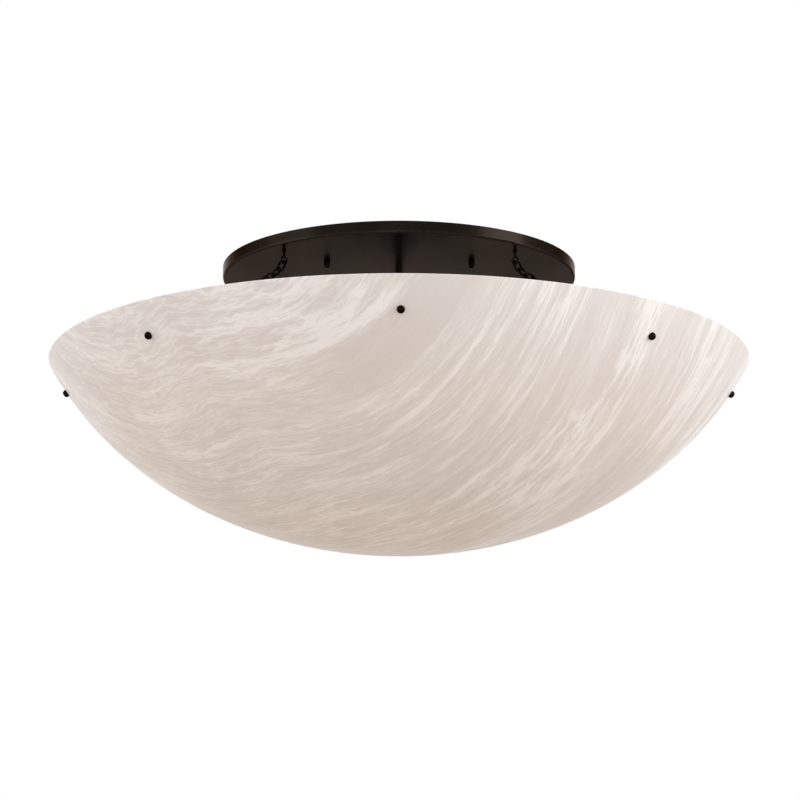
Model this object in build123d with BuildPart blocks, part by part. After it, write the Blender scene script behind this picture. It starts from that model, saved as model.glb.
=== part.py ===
from build123d import *
import os
from math import atan2, ceil, cos, degrees, radians, sin, sqrt

# Semi-flush ceiling light: a wide bowl carried by a ring on a central stem.
# Z = 0 is the ceiling, and the lamp hangs below it along -Z. All sizes in millimetres.

# Bowl: a shell of revolution whose wall is part of an ellipse
bowl_radius = 457.2
bowl_depth = 244.0
bowl_curve_height = 421.4
bowl_wall = 4.8
bowl_rim_round = 0.8
bowl_drop = 114.2

# Chains, canopy studs and lamps stand at the corners of the frame, the spokes between them
corner_count = 4
corner_start = 45.0

# Ceiling pan
pan_radius = 231.8
pan_depth = 15.5
pan_sheet = 1.5
pan_bend = 2.5
canopy_stud_circle = 131.8
eye_setback = 23.5

# Crossbar on the ceiling box
bar_thickness = 3.0
bar_plate_side = 120.0
bar_arm_width = 25.0
bar_arm_past_stud = 12.0
bar_wire_hole = 16.0
bar_corner = 3.0
box_screw_slot_width = 4.8
box_screw_slot_length = 12.0
box_screw_spacing_wide = 88.9
box_screw_spacing_narrow = 69.85
ground_screw_circle = 40.0
ground_screw_angle = 22.5
ground_screw_radius = 2.0
ground_screw_head_radius = 4.0
ground_screw_head_height = 2.5

# Canopy studs and the domed nuts that close over their ends
stud_radius = 2.0
stud_chamfer = 0.4
canopy_nut_radius = 4.0
canopy_nut_height = 8.0
canopy_nut_round = 3.8
canopy_stud_grip = 4.5
stud_end_gap = 0.5

# Stem: a hollow lamp pipe with hexagon locknuts
pipe_radius = 5.15
pipe_bore = 3.4
pipe_wire_hole = 2.6
locknut_width = 14.3
locknut_height = 5.0
seat_washer_radius = 10.0
seat_washer_height = 1.5
pipe_past_nut = 2.0
pipe_end_gap = 1.0

# Bell cover and lamp cluster on the stem
bell_top_drop = 34.0
bell_top_radius = 6.6
bell_height = 36.0
bell_radius = 38.0
bell_sheet = 1.0
bell_lip = 1.0
cluster_radius = 38.0
cluster_height = 42.0
cluster_sheet = 1.5
cover_thickness = 2.0
nipple_length = 20.0

# Sockets and lamps
socket_radius = 18.5
socket_length = 44.0
socket_base = 10.0
nipple_grip = 6.0
shell_length = 30.0
shell_sheet = 0.6
socket_round = 1.5
contact_radius = 3.0
contact_height = 2.5
cap_radius = 13.1
cap_length = 24.0
cap_sheet = 0.5
cap_round = 2.0
insulator_radius = 9.0
insulator_height = 3.0
tip_radius = 4.5
tip_height = 1.5
bulb_radius = 30.0
bulb_length = 108.0
bulb_neck_rise = 5.0
bulb_glass = 1.0

# Ring, spokes and hub that carry the bowl
knob_drop = 37.8
ring_width = 20.0
ring_thickness = 2.5
spoke_thickness = 3.0
spoke_height = 14.0
hub_side = 32.0
hub_height = 16.0
end_cap_radius = 9.0
end_cap_height = 13.0
end_cap_round = 6.3
end_cap_wall = 2.0

# Bowl knobs and their washers
knob_count = 8
knob_radius = 4.9
knob_height = 5.2
knob_round = 4.0
knob_thread_depth = 3.6
bowl_hole_radius = 2.75
washer_radius = 6.5
washer_height = 1.5

# Eye screws, chains and the tabs they end in
wire_radius = 1.3
eye_ring_radius = 4.5
eye_drop = 12.7
eye_shank_radius = 1.6
eye_collar_radius = 3.0
eye_collar_height = 2.0
eye_collar_round = 0.6
eye_nut_width = 5.5
eye_nut_height = 2.4
eye_shank_past_nut = 1.5
link_length = 19.28
link_width = 10.6
first_link_slope = 62.0
first_link_twist = 30.0
tab_reach = 8.2
tab_thickness = 3.0
tab_hole_radius = 3.2
tab_edge = 2.5

# Clearances
thread_gap = 0.05
hole_gap = 0.3
face_gap = 0.2
link_gap = 0.5
knob_gap = 0.3

os.makedirs("parts", exist_ok=True)


def finish(builder, name):
    builder.part.label = name
    export_step(builder.part, f"parts/{name}.step")


def radial_plane(angle):
    """Upright plane through the stem: x runs outwards at this angle, y runs up."""
    outward = (cos(radians(angle)), sin(radians(angle)), 0)
    across = (sin(radians(angle)), -cos(radians(angle)), 0)
    return Plane(origin=(0, 0, 0), x_dir=outward, z_dir=across)


# The chain eyes sit a little way in from the pan's edge
eye_circle = pan_radius - eye_setback

# Levels, all measured down from the ceiling
pan_face = -pan_depth
rim_level = pan_face - bowl_drop
bell_top = pan_face - bell_top_drop
cluster_top = bell_top - bell_height
lamp_level = cluster_top - cluster_height / 2
cluster_bottom = cluster_top - cluster_height

# Bowl wall: an ellipse centred above the rim
curve_centre = rim_level + bowl_curve_height - bowl_depth
curve_rise = (bowl_curve_height - bowl_depth) / bowl_curve_height
curve_radius = bowl_radius / sqrt(1 - curve_rise**2)

# Where a knob sits on the wall, and the slope of the wall there
knob_level = rim_level - knob_drop
knob_fall = (curve_centre - knob_level) / bowl_curve_height
knob_circle = curve_radius * sqrt(1 - knob_fall**2)
knob_tilt = degrees(atan2(knob_fall / bowl_curve_height, knob_circle / curve_radius**2))
lean_out = cos(radians(knob_tilt))
lean_down = sin(radians(knob_tilt))


def knob_plane(angle, stand_off):
    """Plane square to the bowl's wall at a knob, its z running outwards."""
    reach = knob_circle + stand_off * lean_out
    height = knob_level - stand_off * lean_down
    across = cos(radians(angle)), sin(radians(angle))
    return Plane(
        origin=(reach * across[0], reach * across[1], height),
        x_dir=(-across[1], across[0], 0),
        z_dir=(lean_out * across[0], lean_out * across[1], -lean_down),
    )


def stand_off_point(stand_off):
    """Radius and height of a point on a knob's axis."""
    return knob_circle + stand_off * lean_out, knob_level - stand_off * lean_down


def lamp_plane(turn, reach):
    """Plane square to a lamp's axis, this far from the stem, its z running outwards."""
    outward = Vector(cos(radians(turn)), sin(radians(turn)), 0)
    return Plane(origin=outward * reach + Vector(0, 0, lamp_level), x_dir=(0, 0, 1), z_dir=outward)


def lamp_section(turn):
    """Plane along a lamp's axis: x is the radius from that axis, y the distance from the stem."""
    side = Vector(-sin(radians(turn)), cos(radians(turn)), 0)
    return Plane(origin=(0, 0, lamp_level), x_dir=(0, 0, 1), z_dir=side)


def lamp_axis(turn):
    return Axis((0, 0, lamp_level), (cos(radians(turn)), sin(radians(turn)), 0))


corner_turns = [corner_start + 360 / corner_count * turn for turn in range(corner_count)]
spoke_turns = [turn - corner_start for turn in corner_turns]
knob_turns = [360 / knob_count * turn for turn in range(knob_count)]

ring_face = -(bowl_wall + washer_height + 2 * face_gap)
ring_back = ring_face - ring_thickness
frame_circle, frame_level = stand_off_point((ring_face + ring_back) / 2)
hub_top = frame_level + hub_height / 2
hub_bottom = frame_level - hub_height / 2

# ---------------------------------------------------------------- ceiling fixing

with BuildPart() as ceiling_crossbar:
    with BuildSketch(Plane.XY.offset(-bar_thickness)):
        Rectangle(bar_plate_side, bar_plate_side)
        for turn in (45, 135):
            Rectangle(2 * (canopy_stud_circle + bar_arm_past_stud), bar_arm_width, rotation=turn)
        Circle(bar_wire_hole, mode=Mode.SUBTRACT)
        with GridLocations(box_screw_spacing_wide, 0, 2, 1):
            SlotOverall(box_screw_slot_length, box_screw_slot_width, mode=Mode.SUBTRACT)
        with GridLocations(0, box_screw_spacing_narrow, 1, 2):
            SlotOverall(box_screw_slot_length, box_screw_slot_width, rotation=90, mode=Mode.SUBTRACT)
        with PolarLocations(ground_screw_circle, 1, start_angle=ground_screw_angle):
            Circle(ground_screw_radius + thread_gap, mode=Mode.SUBTRACT)
    extrude(amount=bar_thickness)
    fillet(ceiling_crossbar.edges().filter_by(Axis.Z).group_by(SortBy.DISTANCE)[-1], bar_corner)
finish(ceiling_crossbar, "ceiling_crossbar")

with BuildPart() as ground_screw:
    with BuildSketch(Plane.XY.offset(-bar_thickness)):
        with PolarLocations(ground_screw_circle, 1, start_angle=ground_screw_angle):
            Circle(ground_screw_radius)
    extrude(amount=bar_thickness)
    with BuildSketch(Plane.XY.offset(-bar_thickness)):
        with PolarLocations(ground_screw_circle, 1, start_angle=ground_screw_angle):
            RegularPolygon(ground_screw_head_radius, 6)
    extrude(amount=-ground_screw_head_height)
finish(ground_screw, "ground_screw")

with BuildPart() as canopy_studs:
    with BuildSketch(Plane.XY.offset(-bar_thickness)):
        with PolarLocations(canopy_stud_circle, corner_count, start_angle=corner_start):
            Circle(stud_radius)
    extrude(amount=-(pan_depth - bar_thickness + canopy_stud_grip))
    chamfer(canopy_studs.faces().group_by(Axis.Z)[0].edges(), stud_chamfer)
finish(canopy_studs, "canopy_studs")

for number, turn in enumerate(corner_turns, 1):
    with BuildPart() as canopy_nut:
        with BuildSketch(Plane.XY.offset(pan_face)):
            with PolarLocations(canopy_stud_circle, 1, start_angle=turn):
                Circle(canopy_nut_radius)
        extrude(amount=-canopy_nut_height)
        fillet(canopy_nut.faces().sort_by(Axis.Z)[0].edges(), canopy_nut_round)
        with BuildSketch(Plane.XY.offset(pan_face)):
            with PolarLocations(canopy_stud_circle, 1, start_angle=turn):
                Circle(stud_radius + thread_gap)
        extrude(amount=-(canopy_stud_grip + stud_end_gap), mode=Mode.SUBTRACT)
    finish(canopy_nut, f"canopy_nut_{number}")

# ---------------------------------------------------------------- ceiling pan

with BuildPart() as ceiling_pan:
    Cylinder(pan_radius, pan_depth, align=(Align.CENTER, Align.CENTER, Align.MAX))
    fillet(ceiling_pan.edges().filter_by(GeomType.CIRCLE).sort_by(Axis.Z)[0], pan_bend)
    offset(amount=-pan_sheet, openings=ceiling_pan.faces().sort_by(Axis.Z)[-1])
    Hole(pipe_radius + hole_gap)
    with PolarLocations(canopy_stud_circle, corner_count, start_angle=corner_start):
        Hole(stud_radius + hole_gap)
    with PolarLocations(eye_circle, corner_count, start_angle=corner_start):
        Hole(eye_shank_radius + hole_gap)
finish(ceiling_pan, "ceiling_pan")

# ---------------------------------------------------------------- stem and its fasteners

pan_nut_seat = pan_face + pan_sheet + seat_washer_height
pipe_top = pan_nut_seat + locknut_height + pipe_past_nut
pipe_bottom = hub_bottom - end_cap_height + end_cap_wall + pipe_end_gap

with BuildPart() as stem_pipe:
    with BuildSketch(Plane.XY.offset(pipe_top)):
        Circle(pipe_radius)
        Circle(pipe_bore, mode=Mode.SUBTRACT)
    extrude(amount=pipe_bottom - pipe_top)
    with BuildSketch(lamp_plane(0, 0)):
        Circle(pipe_wire_hole)
    extrude(amount=2 * pipe_radius, both=True, mode=Mode.SUBTRACT)
finish(stem_pipe, "stem_pipe")

locknut_seats = [
    pan_nut_seat,
    pan_face - seat_washer_height - locknut_height,
    cluster_top,
    cluster_top - cluster_sheet - locknut_height,
    cluster_bottom - cover_thickness - locknut_height,
    hub_top,
]
with BuildPart() as stem_locknuts:
    for seat in locknut_seats:
        with BuildSketch(Plane.XY.offset(seat)):
            RegularPolygon(locknut_width / 2, 6, major_radius=False)
            Circle(pipe_radius + thread_gap, mode=Mode.SUBTRACT)
        extrude(amount=locknut_height)
finish(stem_locknuts, "stem_locknuts")

with BuildPart() as stem_washers:
    for seat in (pan_face + pan_sheet, pan_face - seat_washer_height):
        with BuildSketch(Plane.XY.offset(seat)):
            Circle(seat_washer_radius)
            Circle(pipe_radius + hole_gap, mode=Mode.SUBTRACT)
        extrude(amount=seat_washer_height)
finish(stem_washers, "stem_washers")

with BuildPart() as stem_end_cap:
    with BuildSketch(Plane.XY.offset(hub_bottom)):
        Circle(end_cap_radius)
    extrude(amount=-end_cap_height)
    fillet(stem_end_cap.faces().sort_by(Axis.Z)[0].edges(), end_cap_round)
    with BuildSketch(Plane.XY.offset(hub_bottom)):
        Circle(pipe_radius + thread_gap)
    extrude(amount=-(end_cap_height - end_cap_wall), mode=Mode.SUBTRACT)
finish(stem_end_cap, "stem_end_cap")

# ---------------------------------------------------------------- bell cover and cluster

with BuildPart() as bell_cover:
    with BuildSketch(Plane.XZ):
        with BuildLine():
            Polyline(
                (pipe_radius + hole_gap, bell_top),
                (bell_top_radius, bell_top),
                (bell_top_radius, bell_top - bell_lip),
                (bell_radius, cluster_top + bell_lip),
                (bell_radius, cluster_top),
                (bell_radius - bell_sheet, cluster_top),
                (pipe_radius + hole_gap, bell_top - bell_sheet - bell_lip),
                close=True,
            )
        make_face()
    revolve(axis=Axis.Z)
finish(bell_cover, "bell_cover")

with BuildPart() as cluster_body:
    with BuildSketch(Plane.XY.offset(cluster_top)):
        Circle(cluster_radius)
    extrude(amount=-cluster_height)
    fillet(cluster_body.edges().group_by(Axis.Z)[-1], cluster_sheet / 2)
    with BuildSketch(Plane.XY.offset(cluster_bottom)):
        Circle(cluster_radius - cluster_sheet)
    extrude(amount=cluster_height - cluster_sheet, mode=Mode.SUBTRACT)
    with BuildSketch(Plane.XY.offset(cluster_bottom)):
        Circle(pipe_radius + hole_gap)
    extrude(amount=cluster_height, mode=Mode.SUBTRACT)
    for turn in corner_turns:
        with BuildSketch(lamp_plane(turn, pipe_radius)):
            Circle(pipe_radius + hole_gap)
        extrude(amount=cluster_radius, mode=Mode.SUBTRACT)
finish(cluster_body, "cluster_body")

with BuildPart() as cluster_cover:
    with BuildSketch(Plane.XY.offset(cluster_bottom)):
        Circle(cluster_radius)
        Circle(pipe_radius + hole_gap, mode=Mode.SUBTRACT)
    extrude(amount=-cover_thickness)
    fillet(cluster_cover.faces().sort_by(Axis.Z)[0].edges().sort_by(SortBy.LENGTH)[-1], cover_thickness / 2)
finish(cluster_cover, "cluster_cover")

# ---------------------------------------------------------------- sockets and lamps

socket_start = cluster_radius + face_gap
socket_floor = socket_start + socket_base
shell_inside = cap_radius + thread_gap
shell_outside = shell_inside + shell_sheet
tip_start = socket_floor + contact_height + face_gap
insulator_start = tip_start + tip_height
cap_start = insulator_start + insulator_height
cap_end = cap_start + cap_length
bulb_centre = tip_start + bulb_length - bulb_radius
neck_radius = cap_radius - cap_sheet - thread_gap
neck_start = cap_start + cap_sheet + cap_round


with BuildPart() as socket_nipples:
    for turn in corner_turns:
        with BuildSketch(lamp_plane(turn, socket_start + nipple_grip)):
            Circle(pipe_radius)
            Circle(pipe_bore, mode=Mode.SUBTRACT)
        extrude(amount=-nipple_length)
finish(socket_nipples, "socket_nipples")

nipple_nut_corner = locknut_width / sqrt(3)
nipple_nut_seat = sqrt((cluster_radius - cluster_sheet) ** 2 - nipple_nut_corner**2) - face_gap
with BuildPart() as nipple_locknuts:
    for turn in corner_turns:
        with BuildSketch(lamp_plane(turn, nipple_nut_seat)):
            RegularPolygon(locknut_width / 2, 6, major_radius=False)
            Circle(pipe_radius + thread_gap, mode=Mode.SUBTRACT)
        extrude(amount=-locknut_height)
finish(nipple_locknuts, "nipple_locknuts")

with BuildPart() as socket_contacts:
    for turn in corner_turns:
        with BuildSketch(lamp_plane(turn, socket_floor)):
            Circle(contact_radius)
        extrude(amount=contact_height)
finish(socket_contacts, "socket_contacts")

for number, turn in enumerate(corner_turns, 1):
    with BuildPart() as socket_body:
        with BuildSketch(lamp_plane(turn, socket_start)):
            Circle(socket_radius)
        extrude(amount=socket_length)
        fillet(socket_body.edges().filter_by(GeomType.CIRCLE), socket_round)
        with BuildSketch(lamp_plane(turn, socket_floor)):
            Circle(shell_outside + thread_gap)
        extrude(amount=socket_length, mode=Mode.SUBTRACT)
        with BuildSketch(lamp_plane(turn, socket_start)):
            Circle(pipe_radius + thread_gap)
        extrude(amount=nipple_grip, mode=Mode.SUBTRACT)
    finish(socket_body, f"socket_body_{number}")

    with BuildPart() as screw_shell:
        with BuildSketch(lamp_plane(turn, socket_floor)):
            Circle(shell_outside)
            Circle(shell_inside, mode=Mode.SUBTRACT)
        extrude(amount=shell_length)
    finish(screw_shell, f"screw_shell_{number}")

    with BuildPart() as lamp_contact:
        with BuildSketch(lamp_section(turn)):
            with BuildLine():
                Polyline(
                    (0, tip_start),
                    (tip_radius, tip_start),
                    (tip_radius, insulator_start),
                    (insulator_radius, cap_start),
                    (0, cap_start),
                    close=True,
                )
            make_face()
        revolve(axis=lamp_axis(turn))
    finish(lamp_contact, f"lamp_contact_{number}")

    with BuildPart() as lamp_cap:
        with BuildSketch(lamp_plane(turn, cap_start)):
            Circle(cap_radius)
        extrude(amount=cap_length)
        fillet(lamp_cap.edges().filter_by(GeomType.CIRCLE).sort_by(lamp_axis(turn))[0], cap_round)
        offset(amount=-cap_sheet, openings=lamp_cap.faces().sort_by(lamp_axis(turn))[-1])
    finish(lamp_cap, f"lamp_cap_{number}")

    with BuildPart() as lamp_glass:
        with BuildSketch(lamp_section(turn)):
            for skin, mode in ((0, Mode.ADD), (bulb_glass, Mode.SUBTRACT)):
                with BuildLine():
                    neck = Line(
                        (neck_radius - skin, neck_start),
                        (neck_radius - skin, cap_end + bulb_neck_rise),
                    )
                    Spline(
                        neck @ 1,
                        (bulb_radius - skin, bulb_centre),
                        tangents=[(0, 1), (0, 1)],
                        tangent_scalars=(0.8, 1.1),
                    )
                    crown = CenterArc((0, bulb_centre), bulb_radius - skin, 0, 90)
                    Polyline(crown @ 1, (0, neck_start), neck @ 0)
                make_face(mode=mode)
        revolve(axis=lamp_axis(turn))
    finish(lamp_glass, f"lamp_glass_{number}")

# ---------------------------------------------------------------- frame that carries the bowl

with BuildPart() as bowl_ring:
    with BuildSketch(Plane.XZ):
        with Locations(Location((frame_circle, frame_level), -knob_tilt)):
            Rectangle(ring_thickness, ring_width)
    revolve(axis=Axis.Z)
    fillet(bowl_ring.edges().filter_by(GeomType.CIRCLE), ring_thickness / 4)
finish(bowl_ring, "bowl_ring")

with BuildPart() as spoke_hub:
    with BuildSketch(Plane.XY.offset(hub_bottom)):
        RectangleRounded(hub_side, hub_side, hub_side / 16)
        Circle(pipe_radius + hole_gap, mode=Mode.SUBTRACT)
    extrude(amount=hub_height)
finish(spoke_hub, "spoke_hub")

weld_circle, weld_level = stand_off_point(ring_back - face_gap)
half = spoke_height / 2
reach_top = weld_circle + (frame_level + half - weld_level) * lean_down / lean_out
reach_low = weld_circle + (frame_level - half - weld_level) * lean_down / lean_out
with BuildPart() as bowl_spokes:
    for turn in spoke_turns:
        with BuildSketch(radial_plane(turn)):
            with BuildLine():
                Polyline(
                    (hub_side / 2, frame_level + half),
                    (reach_top, frame_level + half),
                    (reach_low, frame_level - half),
                    (hub_side / 2, frame_level - half),
                    close=True,
                )
            make_face()
        extrude(amount=spoke_thickness / 2, both=True)
finish(bowl_spokes, "bowl_spokes")

with BuildPart() as ring_studs:
    for turn in knob_turns:
        with BuildSketch(knob_plane(turn, ring_face)):
            Circle(stud_radius)
        extrude(amount=knob_gap + knob_thread_depth - ring_face)
finish(ring_studs, "ring_studs")

with BuildPart() as bowl_washers:
    for turn in knob_turns:
        with BuildSketch(knob_plane(turn, ring_face + face_gap)):
            Circle(washer_radius)
            Circle(stud_radius + thread_gap, mode=Mode.SUBTRACT)
        extrude(amount=washer_height)
finish(bowl_washers, "bowl_washers")

# ---------------------------------------------------------------- bowl and its knobs

with BuildPart() as bowl:
    with BuildSketch(Plane.XZ) as wall:
        with Locations((0, curve_centre)):
            Ellipse(curve_radius, bowl_curve_height)
            Ellipse(curve_radius - bowl_wall, bowl_curve_height - bowl_wall, mode=Mode.SUBTRACT)
        with Locations((0, rim_level)):
            Rectangle(
                curve_radius,
                bowl_curve_height,
                align=(Align.MIN, Align.MAX),
                mode=Mode.INTERSECT,
            )
        fillet(wall.vertices().group_by(Axis.Y)[-1], bowl_rim_round)
    revolve(axis=Axis.Z)
    for turn in knob_turns:
        with BuildSketch(knob_plane(turn, bowl_wall)):
            Circle(bowl_hole_radius)
        extrude(amount=-3 * bowl_wall, mode=Mode.SUBTRACT)
finish(bowl, "bowl")

for number, turn in enumerate(knob_turns, 1):
    with BuildPart() as bowl_knob:
        with BuildSketch(knob_plane(turn, knob_gap)):
            Circle(knob_radius)
        extrude(amount=knob_height)
        knob_axis = Axis(knob_plane(turn, 0).origin, knob_plane(turn, 0).z_dir)
        fillet(bowl_knob.edges().filter_by(GeomType.CIRCLE).sort_by(knob_axis)[-1], knob_round)
        with BuildSketch(knob_plane(turn, knob_gap)):
            Circle(stud_radius + thread_gap)
        extrude(amount=knob_thread_depth + thread_gap, mode=Mode.SUBTRACT)
    finish(bowl_knob, f"bowl_knob_{number}")

# ---------------------------------------------------------------- eye screws and chains

eye_level = pan_face - eye_drop
eye_nut_seat = pan_face + pan_sheet
tab_hole_circle, tab_hole_level = stand_off_point(ring_back - face_gap - tab_reach)

# A chain runs in an upright plane. It starts in the eye and ends in the tab's hole. Each link
# crosses the next at a point halfway between their two wires.
crossing = wire_radius + link_gap / 2
link_pitch = link_length - 4 * wire_radius - link_gap
eye_pull = Vector(cos(radians(first_link_slope)), -sin(radians(first_link_slope)))
eye_point = Vector(eye_circle, eye_level) + eye_pull * (eye_ring_radius - crossing)
link_bend = link_width / 2 - wire_radius
tab_arc_rise = link_bend - sqrt(link_bend**2 - (tab_thickness / 2) ** 2)
wire_in_tab = tab_hole_radius - wire_radius - link_gap - tab_arc_rise
tab_point = Vector(
    tab_hole_circle - (wire_in_tab + crossing) * lean_out,
    tab_hole_level + (wire_in_tab + crossing) * lean_down,
)
second_point = eye_point + eye_pull * link_pitch
chord = tab_point - second_point
chord_slope = degrees(atan2(-chord.Y, chord.X))

# The other links sag along an arc just long enough to be a whole number of links
sag_count = ceil(chord.length / link_pitch)
slack = 1 - chord.length / (sag_count * link_pitch)
sag_angle = degrees(sqrt(10 - sqrt(100 - 120 * slack))) * (sag_count - 1) / sag_count
link_slopes = [first_link_slope]
for step in range(sag_count):
    link_slopes.append(chord_slope + sag_angle * (1 - 2 * step / (sag_count - 1)))

# The eye and the tab both stand upright, so a link lies flat where it passes through either. The
# links between turn by quarters, and an odd quarter is made up by a little more twist in each.
last_link_twist = 90 * (sag_count % 2)


def link_places(twist_side):
    """Where each link lies, from the eye to the tab, with the chain twisted to this side."""
    places = []
    link_start = eye_point
    for count, slope in enumerate(link_slopes):
        along = Vector(cos(radians(slope)), -sin(radians(slope)))
        middle = link_start + along * (link_pitch / 2)
        twist = first_link_twist + (last_link_twist - first_link_twist) * count / sag_count
        roll = 90 * count + twist_side * twist
        places.append(Location((middle.X, 0, middle.Y), (0, slope, 0)) * Rotation(roll, 0, 0))
        link_start += along * link_pitch
    return places


with BuildPart() as eye_screws:
    with PolarLocations(eye_circle, corner_count, start_angle=corner_start):
        with Locations((0, 0, eye_level)):
            Torus(eye_ring_radius, wire_radius, rotation=(90, 0, 0))
        with Locations((0, 0, eye_level + eye_ring_radius)):
            Cylinder(
                eye_shank_radius,
                eye_nut_seat + eye_nut_height + eye_shank_past_nut - eye_level - eye_ring_radius,
                align=(Align.CENTER, Align.CENTER, Align.MIN),
            )
        with Locations((0, 0, pan_face)):
            Cylinder(
                eye_collar_radius,
                eye_collar_height,
                align=(Align.CENTER, Align.CENTER, Align.MAX),
            )
    collar_end = pan_face - eye_collar_height
    collar_edges = eye_screws.edges().filter_by(GeomType.CIRCLE).filter_by_position(
        Axis.Z, collar_end - face_gap, collar_end + face_gap
    )
    fillet(collar_edges.group_by(Edge.length)[-1], eye_collar_round)
finish(eye_screws, "eye_screws")

with BuildPart() as eye_screw_nuts:
    with BuildSketch(Plane.XY.offset(eye_nut_seat)):
        with PolarLocations(eye_circle, corner_count, start_angle=corner_start):
            RegularPolygon(eye_nut_width / 2, 6, major_radius=False)
            Circle(eye_shank_radius + thread_gap, mode=Mode.SUBTRACT)
    extrude(amount=eye_nut_height)
finish(eye_screw_nuts, "eye_screw_nuts")

with BuildPart() as chain_tabs:
    for turn in corner_turns:
        with BuildSketch(radial_plane(turn)):
            with Locations(Location((tab_hole_circle, tab_hole_level), -knob_tilt)):
                Circle(tab_hole_radius + tab_edge)
                Rectangle(tab_reach, 2 * (tab_hole_radius + tab_edge), align=(Align.MIN, Align.CENTER))
                Circle(tab_hole_radius, mode=Mode.SUBTRACT)
        extrude(amount=tab_thickness / 2, both=True)
finish(chain_tabs, "chain_tabs")

with BuildPart() as link:
    straight = link_length - link_width
    with BuildLine() as link_path:
        side = Line((-straight / 2, link_bend), (straight / 2, link_bend))
        end = CenterArc((straight / 2, 0), link_bend, 90, -180)
        back = Line(end @ 1, (-straight / 2, -link_bend))
        CenterArc((-straight / 2, 0), link_bend, -90, -180)
    with BuildSketch(Plane(origin=side @ 0, z_dir=(1, 0, 0))):
        Circle(wire_radius)
    sweep(path=link_path.wire())

for number, turn in enumerate(corner_turns, 1):
    with BuildPart() as chain:
        for place in link_places((-1) ** number):
            add(Rotation(0, 0, turn) * place * link.part)
    finish(chain, f"chain_{number}")
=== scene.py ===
import bpy
from math import radians
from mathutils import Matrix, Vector


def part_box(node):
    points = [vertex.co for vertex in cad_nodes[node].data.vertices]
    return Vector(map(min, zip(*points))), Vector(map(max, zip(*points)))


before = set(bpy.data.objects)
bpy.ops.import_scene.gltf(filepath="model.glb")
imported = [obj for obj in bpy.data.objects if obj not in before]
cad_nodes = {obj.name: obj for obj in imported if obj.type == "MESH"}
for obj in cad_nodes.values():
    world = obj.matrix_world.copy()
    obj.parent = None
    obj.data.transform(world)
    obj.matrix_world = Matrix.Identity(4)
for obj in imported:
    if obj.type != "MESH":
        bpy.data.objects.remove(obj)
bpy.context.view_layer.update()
bpy.ops.object.select_all(action="DESELECT")

# ---------------------------------------------------------------- camera
# The camera stands a little below the rim of the bowl and looks slightly up at it, as a
# catalogue picture is taken. It stands far back, so the bowl is hardly foreshortened.
camera_place = (-0.0220, -4.3394, -1.1947)
look_up = radians(13.206)
look_right = radians(0.3085)
camera_data = bpy.data.cameras.new("camera")
camera_data.lens = 153.5
camera_data.sensor_width = 36.0
camera_data.clip_end = 60.0
camera = bpy.data.objects.new("camera", camera_data)
camera.location = camera_place
camera.rotation_euler = (radians(90) + look_up, 0, -look_right)
bpy.context.scene.collection.objects.link(camera)
bpy.context.scene.camera = camera
bpy.context.scene.view_settings.view_transform = "Standard"

# ---------------------------------------------------------------- floor
# A plain pale floor lies far below the lamp, so that every view from under it is free. Its warm
# paint is what gives the bottom of the bowl its browner tone.
floor_level = -6.5
floor_side = 60
pale_sand = (0.68, 0.545, 0.44)
bpy.ops.mesh.primitive_plane_add(size=floor_side, location=(0, 0, floor_level))
floor = bpy.context.active_object
floor.name = "floor"
floor_paint = bpy.data.materials.new("floor_paint")
floor_paint.use_nodes = True
floor_shader = floor_paint.node_tree.nodes["Principled BSDF"]
floor_shader.inputs["Base Color"].default_value = (*pale_sand, 1)
floor_shader.inputs["Roughness"].default_value = 0.9
floor.data.materials.append(floor_paint)

# ---------------------------------------------------------------- room and studio lamps
# The room lights the lamp evenly, but the camera, mirrors and clear pieces see it plain white.
# Soft boxes stand to the right and the left, and a third one low down in front.
room_light = (0.99, 0.995, 1.0)
room_strength = 0.81
world = bpy.data.worlds.new("studio")
bpy.context.scene.world = world
world.use_nodes = True
world_nodes = world.node_tree.nodes
world_links = world.node_tree.links
room = world_nodes["Background"]
room.inputs["Color"].default_value = (*room_light, 1)
room.inputs["Strength"].default_value = room_strength
white_room = world_nodes.new("ShaderNodeBackground")
white_room.inputs["Color"].default_value = (1, 1, 1, 1)
white_room.inputs["Strength"].default_value = 1.0
rays = world_nodes.new("ShaderNodeLightPath").outputs
seen_directly = rays["Is Camera Ray"]
for other_view in (rays["Is Glossy Ray"], rays["Is Transmission Ray"]):
    either = world_nodes.new("ShaderNodeMath")
    either.operation = "MAXIMUM"
    world_links.new(seen_directly, either.inputs[0])
    world_links.new(other_view, either.inputs[1])
    seen_directly = either.outputs[0]
room_mix = world_nodes.new("ShaderNodeMixShader")
world_links.new(seen_directly, room_mix.inputs[0])
world_links.new(room.outputs[0], room_mix.inputs[1])
world_links.new(white_room.outputs[0], room_mix.inputs[2])
world_links.new(room_mix.outputs[0], world_nodes["World Output"].inputs[0])


def soft_box(name, place, aim, side, watts, colour):
    """A square studio lamp that points at a place on the stem's line."""
    light = bpy.data.lights.new(name, "AREA")
    light.shape = "SQUARE"
    light.size = side
    light.energy = watts
    light.color = colour
    lamp = bpy.data.objects.new(name, light)
    lamp.location = place
    lamp.rotation_euler = (Vector(aim) - Vector(place)).to_track_quat("-Z", "Y").to_euler()
    bpy.context.scene.collection.objects.link(lamp)


daylight = (0.965, 0.985, 1.0)
cool_daylight = (0.84, 0.93, 1.0)
rim_middle = (0, 0, -0.2)
bowl_bottom = (0, 0, -0.35)
soft_box("key", place=(4.2, -1.6, 0.6), aim=rim_middle, side=2.4, watts=85, colour=daylight)
soft_box("fill", place=(-4.2, -1.2, 0.5), aim=rim_middle, side=2.6, watts=32, colour=daylight)
soft_box("front", place=(0, -6.0, -2.7), aim=bowl_bottom, side=3.5, watts=58, colour=cool_daylight)

# ---------------------------------------------------------------- ceiling crossbar and its fasteners
# A cross of zinc-plated steel plate that screws to the ceiling box. Its four studs are welded on,
# and the ground screw beside the wire hole is dyed green.


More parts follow.
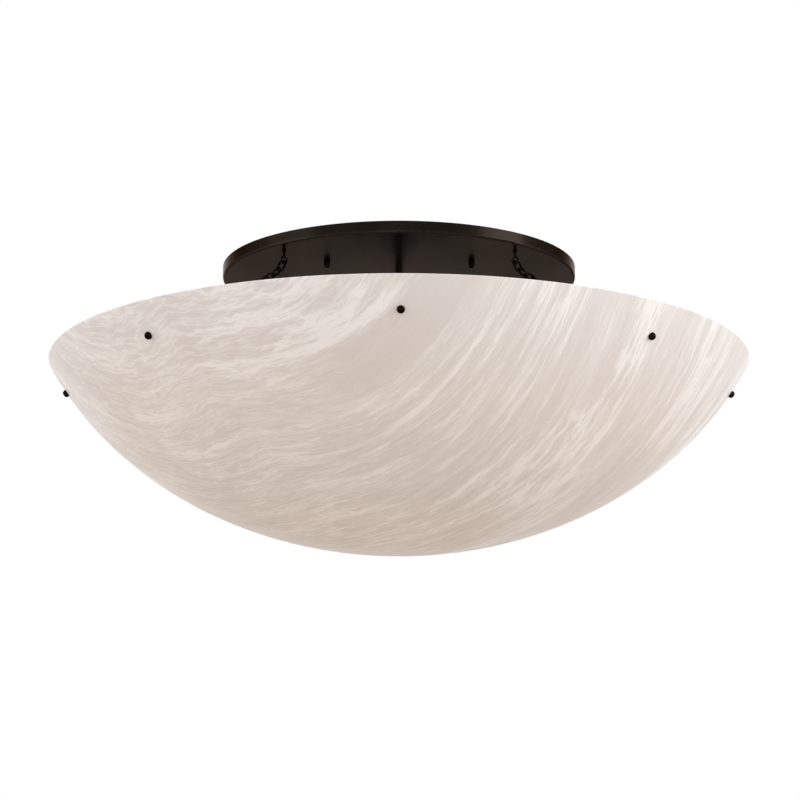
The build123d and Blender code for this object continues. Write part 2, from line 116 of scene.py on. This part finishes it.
class Finish:
    """A finish of the lamp: its material, and the steps that its patterns are made with."""

    def __init__(self, name, colour, roughness, metallic=0.0):
        self.material = bpy.data.materials.new(name)
        self.material.use_nodes = True
        self.nodes = self.material.node_tree.nodes
        self.links = self.material.node_tree.links
        self.shader = self.nodes["Principled BSDF"]
        self.place = self.nodes.new("ShaderNodeTexCoord").outputs["Object"]
        self.surface("Base Color", colour)
        self.surface("Roughness", roughness)
        self.surface("Metallic", metallic)

    def feed(self, socket, value):
        """Links a pattern to a socket, or sets a plain number, direction or colour there."""
        if isinstance(value, bpy.types.NodeSocket):
            self.links.new(value, socket)
        elif socket.type == "RGBA":
            socket.default_value = (*value, 1)
        else:
            socket.default_value = value

    def surface(self, name, value):
        """Gives the surface a colour, roughness or other look."""
        self.feed(self.shader.inputs[name], value)

    def step(self, kind, inputs, **choices):
        """Adds one node with its choices and its inputs, and gives its outputs."""
        node = self.nodes.new("ShaderNode" + kind)
        for choice, value in choices.items():
            setattr(node, choice, value)
        for socket, value in inputs.items():
            self.feed(node.inputs[socket], value)
        return node.outputs

    def mottle(self, blotches, detail=3.0, stretch=(1, 1, 1), place=None):
        """Cloudy noise of this many blotches to the metre, drawn out along an axis if wanted."""
        drawn_out = self.step("Mapping", {"Vector": place or self.place, "Scale": stretch})[0]
        return self.step("TexNoise", {"Vector": drawn_out, "Scale": blotches, "Detail": detail})["Fac"]

    def spread(self, value, low, high, to_low, to_high):
        """Turns values from low to high into values from to_low to to_high, and stops there."""
        ends = {"From Min": low, "From Max": high, "To Min": to_low, "To Max": to_high}
        return self.step("MapRange", {"Value": value, **ends})["Result"]

    def blend(self, amount, first, second):
        """A colour between two colours, by amount."""
        mix = self.nodes.new("ShaderNodeMix")
        mix.data_type = "RGBA"
        self.feed(mix.inputs["Factor"], amount)
        first_socket, second_socket = [socket for socket in mix.inputs if socket.type == "RGBA"]
        self.feed(first_socket, first)
        self.feed(second_socket, second)
        return [socket for socket in mix.outputs if socket.type == "RGBA"][0]

    def reckon(self, operation, *values):
        """One arithmetic step on patterns or plain numbers."""
        return self.step("Math", dict(enumerate(values)), operation=operation)[0]

    def emboss(self, height, depth):
        """Relief of this depth in metres from a height pattern."""
        relief = self.step("Bump", {"Height": height, "Distance": depth, "Strength": 1.0})
        self.surface("Normal", relief["Normal"])


def plated_metal(name, bright, dull, roughness, blotches):
    """Plated or formed bare metal: cloudy brightness, faint handling marks and a fine grain."""
    grain_stretch = (1, 0.15, 0.4)
    grain_depth = 0.00004
    finish = Finish(name, bright, roughness, metallic=1.0)
    clouds = finish.mottle(blotches, 4.0)
    finish.surface("Base Color", finish.blend(finish.spread(clouds, 0.35, 0.68, 0, 1), bright, dull))
    finish.surface("Roughness", finish.spread(clouds, 0.3, 0.7, roughness, roughness + 0.2))
    finish.emboss(finish.mottle(1800, 2.0, grain_stretch), grain_depth)
    return finish


def dress(finish, *names):
    """Puts a finish on CAD pieces, and shades their curved faces smoothly."""
    for name in names:
        mesh = cad_nodes[name].data
        mesh.materials.clear()
        mesh.materials.append(finish.material)
        mesh.polygons.foreach_set("use_smooth", [True] * len(mesh.polygons))


bright_zinc = (0.55, 0.56, 0.57)
dull_zinc = (0.36, 0.36, 0.34)
light_green = (0.03, 0.16, 0.05)
deep_green = (0.015, 0.09, 0.03)
zinc_plate = plated_metal("zinc_plate", bright_zinc, dull_zinc, 0.28, 60)
green_zinc = plated_metal("green_zinc", light_green, deep_green, 0.3, 120)
dress(zinc_plate, "ceiling_crossbar", "canopy_studs")
dress(green_zinc, "ground_screw")

# ---------------------------------------------------------------- ceiling pan and its nuts
# A shallow dish spun from steel sheet and sprayed in a dark bronze satin coat, which shows a soft
# brown mirror image at a low angle. Four small domed nuts in the duller iron coat hold it up.


def bronze_coat(name, deep, rubbed, mirror, roughness, peel):
    """Sprayed bronze: rubbed patches, fine specks and orange peel, and the tint of its mirroring."""
    finish = Finish(name, deep, roughness, metallic=0.85)
    finish.surface("Specular IOR Level", 0.02)
    finish.surface("Specular Tint", mirror)
    clouds = finish.mottle(14, 5.0)
    specks = finish.mottle(900, 2.0)
    patches = finish.blend(finish.spread(clouds, 0.42, 0.72, 0, 1), deep, rubbed)
    finish.colour = finish.blend(finish.spread(specks, 0.62, 0.75, 0, 0.5), patches, rubbed)
    finish.surface("Base Color", finish.colour)
    finish.surface("Roughness", finish.spread(clouds, 0.3, 0.7, roughness, roughness + 0.06))
    finish.emboss(finish.mottle(260, 2.0), peel)
    return finish


pan_coat = bronze_coat(
    "pan_coat",
    deep=(0.0125, 0.0092, 0.007),
    rubbed=(0.018, 0.0135, 0.0105),
    mirror=(0.492, 0.452, 0.426),
    roughness=0.2,
    peel=0.00002,
)
iron_coat = bronze_coat(
    "iron_coat",
    deep=(0.0095, 0.0068, 0.005),
    rubbed=(0.02, 0.015, 0.012),
    mirror=(0.36, 0.34, 0.33),
    roughness=0.33,
    peel=0.00004,
)

# The pan's coat is painted lighter along its bend: a painted highlight that stands in for the soft
# reflection seen there
bend_highlight_bronze = (0.034, 0.027, 0.0215)
pan_low, pan_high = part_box("ceiling_pan")
pan_edge = pan_high[0]
pan_face = pan_low[2]
flat_place = pan_coat.step("VectorMath", {0: pan_coat.place, 1: (1, 1, 0)}, operation="MULTIPLY")[0]
from_stem = pan_coat.step("VectorMath", {0: flat_place}, operation="LENGTH")["Value"]
height = pan_coat.step("SeparateXYZ", {0: pan_coat.place})["Z"]
near_edge = pan_coat.spread(from_stem, pan_edge - 0.0035, pan_edge - 0.0015, 0, 1)
near_face = pan_coat.spread(height, pan_face + 0.0035, pan_face + 0.0012, 0, 1)
# The mask of the painted highlight, where the bend lies near both the edge and the face of the pan
bend_highlight = pan_coat.reckon("MULTIPLY", near_edge, near_face)
pan_coat.surface("Base Color", pan_coat.blend(bend_highlight, pan_coat.colour, bend_highlight_bronze))


def numbered(name, count):
    """The names of like pieces: name_1, name_2 and so on."""
    return [f"{name}_{number}" for number in range(1, count + 1)]


dress(pan_coat, "ceiling_pan")
dress(iron_coat, *numbered("canopy_nut", 4))

# ---------------------------------------------------------------- stem, bell cover and lamp cluster
# A threaded lamp pipe that hangs from the crossbar and carries everything, in the iron coat. A spun
# bell and the cylindrical cluster body are clamped on it between plated locknuts and washers.
dress(iron_coat, "stem_pipe", "bell_cover", "cluster_body", "cluster_cover", "stem_end_cap")
dress(zinc_plate, "stem_locknuts", "stem_washers")

# ---------------------------------------------------------------- sockets
# Black moulded socket bodies with formed brass shells and contacts. Each is screwed on a plated
# nipple that a locknut holds in the cluster's wall.
moulded_black = (0.012, 0.011, 0.01)
worn_black = (0.024, 0.021, 0.019)
phenolic = Finish("phenolic", moulded_black, 0.35)
flow_marks = phenolic.mottle(70, 4.0)
phenolic_colour = phenolic.blend(phenolic.spread(flow_marks, 0.4, 0.7, 0, 1), moulded_black, worn_black)
phenolic.surface("Base Color", phenolic_colour)
phenolic.surface("Roughness", phenolic.spread(flow_marks, 0.3, 0.7, 0.28, 0.46))
phenolic.emboss(phenolic.mottle(700, 2.0), 0.00003)

bright_brass = (0.62, 0.43, 0.16)
dull_brass = (0.42, 0.27, 0.1)
brass_sheet = plated_metal("brass_sheet", bright_brass, dull_brass, 0.26, 90)
dress(phenolic, *numbered("socket_body", 4))
dress(brass_sheet, "socket_contacts", *numbered("screw_shell", 4))
dress(zinc_plate, "socket_nipples", "nipple_locknuts")

# ---------------------------------------------------------------- lamps
# Frosted glass envelopes cemented in caps of rolled metal, with a black insulator that holds the
# contact at the end.
bright_cap = (0.72, 0.71, 0.69)
dull_cap = (0.5, 0.49, 0.47)
cap_metal = plated_metal("cap_metal", bright_cap, dull_cap, 0.24, 110)

clear_frost = (0.88, 0.88, 0.86)
grey_frost = (0.8, 0.8, 0.79)
frosted_glass = Finish("frosted_glass", clear_frost, 0.32)
haze = frosted_glass.mottle(55, 3.0)
glass_colour = frosted_glass.blend(frosted_glass.spread(haze, 0.35, 0.7, 0, 1), clear_frost, grey_frost)
frosted_glass.surface("Base Color", glass_colour)
frosted_glass.surface("Roughness", frosted_glass.spread(haze, 0.3, 0.7, 0.28, 0.42))
frosted_glass.surface("Subsurface Weight", 0.2)
frosted_glass.surface("Subsurface Radius", (0.02, 0.02, 0.02))
frosted_glass.surface("Subsurface Scale", 0.5)
dress(frosted_glass, *numbered("lamp_glass", 4))
dress(cap_metal, *numbered("lamp_cap", 4))
dress(phenolic, *numbered("lamp_contact", 4))

# ---------------------------------------------------------------- bowl frame
# A flat steel bar rolled into a ring at the bowl's slope, welded to four spokes and a hub on the
# stem. Plated studs for the bowl stand on the ring, and the chains hook into its four tabs.
dress(iron_coat, "bowl_ring", "bowl_spokes", "spoke_hub", "chain_tabs")
dress(zinc_plate, "ring_studs")

# ---------------------------------------------------------------- bowl, with its washers and knobs
# One shell of cast alabaster-look acrylic, drawn down hot from a flat sheet, so that its white
# streaks all run one way across the plan of the bowl and stretch up its sides. It is held to the
# ring through rubber washers by eight domed knobs in the iron coat.
beige_sheet = (0.768, 0.728, 0.71)
white_streak = (0.975, 0.97, 0.97)
grain_angle = radians(-47)
streak_relief = 0.00006
alabaster = Finish("alabaster", beige_sheet, 0.38)
alabaster.surface("Specular IOR Level", 0.6)

# Sheet coordinates: along the streaks and across them, with the height taken out
sheet_turn = {"Rotation": (0, 0, -grain_angle), "Scale": (1, 1, 0)}
sheet_place = alabaster.step("Mapping", {"Vector": alabaster.place, **sheet_turn})[0]
along, straight_across = alabaster.step("SeparateXYZ", {0: sheet_place})[:2]
left_to_right = alabaster.step("SeparateXYZ", {0: alabaster.place})["X"]

# The flow wanders: a slow drift of the streaks sideways, a quicker ripple, and one wide bend in
# the part of the sheet that makes the front of the bowl
bend_start = alabaster.spread(along, 0.06, 0.56, 0, 0.15)
bend_side = alabaster.spread(straight_across, -0.1, -0.25, 0, 1)
bend = alabaster.reckon("MULTIPLY", bend_start, bend_side)
drift = alabaster.spread(alabaster.mottle(3.2, 0.5, place=sheet_place), 0, 1, -0.035, 0.035)
ripple = alabaster.spread(alabaster.mottle(34.0, 2.0, place=sheet_place), 0, 1, -0.0045, 0.0045)
bent = alabaster.reckon("SUBTRACT", straight_across, bend)
across = alabaster.reckon("ADD", bent, alabaster.reckon("ADD", drift, ripple))


def streak_field(length_waves, width_waves, detail, seed, crinkle=0.55):
    """Noise drawn out along the streaks: waves to the metre along them and across them."""
    lengthwise = alabaster.reckon("MULTIPLY", along, length_waves)
    crosswise = alabaster.reckon("MULTIPLY", across, width_waves)
    drawn_out = alabaster.step("CombineXYZ", {0: lengthwise, 1: crosswise, 2: seed})[0]
    noise = {"Vector": drawn_out, "Scale": 1.0, "Detail": detail, "Roughness": crinkle}
    return alabaster.step("TexNoise", noise)["Fac"]


def weighted(values_and_weights):
    """The sum of several values, each times its weight."""
    total = 0.0
    for value, weight in values_and_weights:
        total = alabaster.reckon("ADD", alabaster.reckon("MULTIPLY", value, weight), total)
    return total


def ridge(field, sharpness):
    """Thin bright lines where a field passes its middle value."""
    distance = alabaster.reckon("ABSOLUTE", alabaster.reckon("SUBTRACT", field, 0.5))
    line = alabaster.reckon("SUBTRACT", 1.0, alabaster.reckon("MULTIPLY", distance, sharpness))
    return alabaster.reckon("MAXIMUM", line, 0.0)


def hairline(field, sharpness):
    """A crisp line with a soft, paler edge to each side."""
    return weighted([(ridge(field, sharpness), 0.75), (ridge(field, sharpness / 3), 0.25)])


def window(value, start, full, full_end, end):
    """One between full and full_end, falling away to nought at start and end."""
    rise = alabaster.spread(value, start, full, 0, 1)
    fall = alabaster.spread(value, full_end, end, 1, 0)
    return alabaster.reckon("MULTIPLY", rise, fall)


# Pale clouds, long and short lines where the sheet has them, and fine threads at the left
clouds = alabaster.spread(streak_field(4, 17, 4.0, seed=1.7), 0.42, 0.62, 0, 1)
long_lines = hairline(streak_field(5, 36, 5.0, seed=4.2, crinkle=0.62), 34)
sweeps = hairline(streak_field(2.2, 30, 3.0, seed=17.3), 42)
short_lines = hairline(streak_field(11, 74, 4.0, seed=6.1, crinkle=0.6), 26)
threads = hairline(streak_field(22, 190, 3.0, seed=8.9), 16)
streaky_places = alabaster.spread(streak_field(5, 12, 2.0, seed=12.5), 0.42, 0.62, 0.2, 0.9)
thread_share = alabaster.spread(left_to_right, -0.35, 0.2, 1.0, 0.25)
line_side = alabaster.reckon("SUBTRACT", 1.15, alabaster.reckon("MULTIPLY", thread_share, 0.6))
line_share = alabaster.reckon("MULTIPLY", streaky_places, line_side)
all_lines = weighted([(long_lines, 1.3), (short_lines, 0.6), (sweeps, 1.2)])
lines = alabaster.reckon("MULTIPLY", all_lines, line_share)
thread_patch = alabaster.reckon("MULTIPLY", threads, thread_share)
streaks = weighted([(clouds, 0.1), (lines, 1.0), (thread_patch, 0.65)])

# One bold feather runs up to the front knob, with a plain beige patch beside it
feather_width = window(bent, -0.402, -0.390, -0.386, -0.378)
feather_length = window(along, 0.08, 0.2, 0.3, 0.335)
feather = alabaster.reckon("MULTIPLY", feather_width, feather_length)
strands = hairline(streak_field(6, 260, 2.0, seed=3.3), 14)
feather_lines = alabaster.reckon("MULTIPLY", feather, weighted([(strands, 0.8), (1.0, 0.05)]))
patch_width = window(bent, -0.384, -0.376, -0.34, -0.31)
patch_length = window(along, 0.16, 0.24, 0.42, 0.5)
plain_patch = alabaster.reckon("MULTIPLY", patch_width, patch_length)
streaks_left = alabaster.reckon("SUBTRACT", 1.0, alabaster.reckon("MULTIPLY", plain_patch, 0.8))
whiteness = alabaster.reckon("ADD", alabaster.reckon("MULTIPLY", streaks, streaks_left), feather_lines)
alabaster.surface("Base Color", alabaster.blend(whiteness, beige_sheet, white_streak))
alabaster.surface("Roughness", alabaster.spread(whiteness, 0, 1, 0.42, 0.32))
alabaster.emboss(whiteness, streak_relief)

rubber = Finish("rubber", (0.02, 0.02, 0.02), 0.7)
rubber.surface("Roughness", rubber.spread(rubber.mottle(300, 3.0), 0.3, 0.7, 0.6, 0.85))
dress(alabaster, "bowl")
dress(rubber, "bowl_washers")
dress(iron_coat, *numbered("bowl_knob", 8))

# ---------------------------------------------------------------- eye screws and chains
# Four small eyes of bent wire are screwed through the pan, with plated nuts above it. From each a
# chain of welded wire links sags out to a tab on the ring, and holds the bowl level.
dress(iron_coat, "eye_screws", *numbered("chain", 4))
dress(zinc_plate, "eye_screw_nuts")
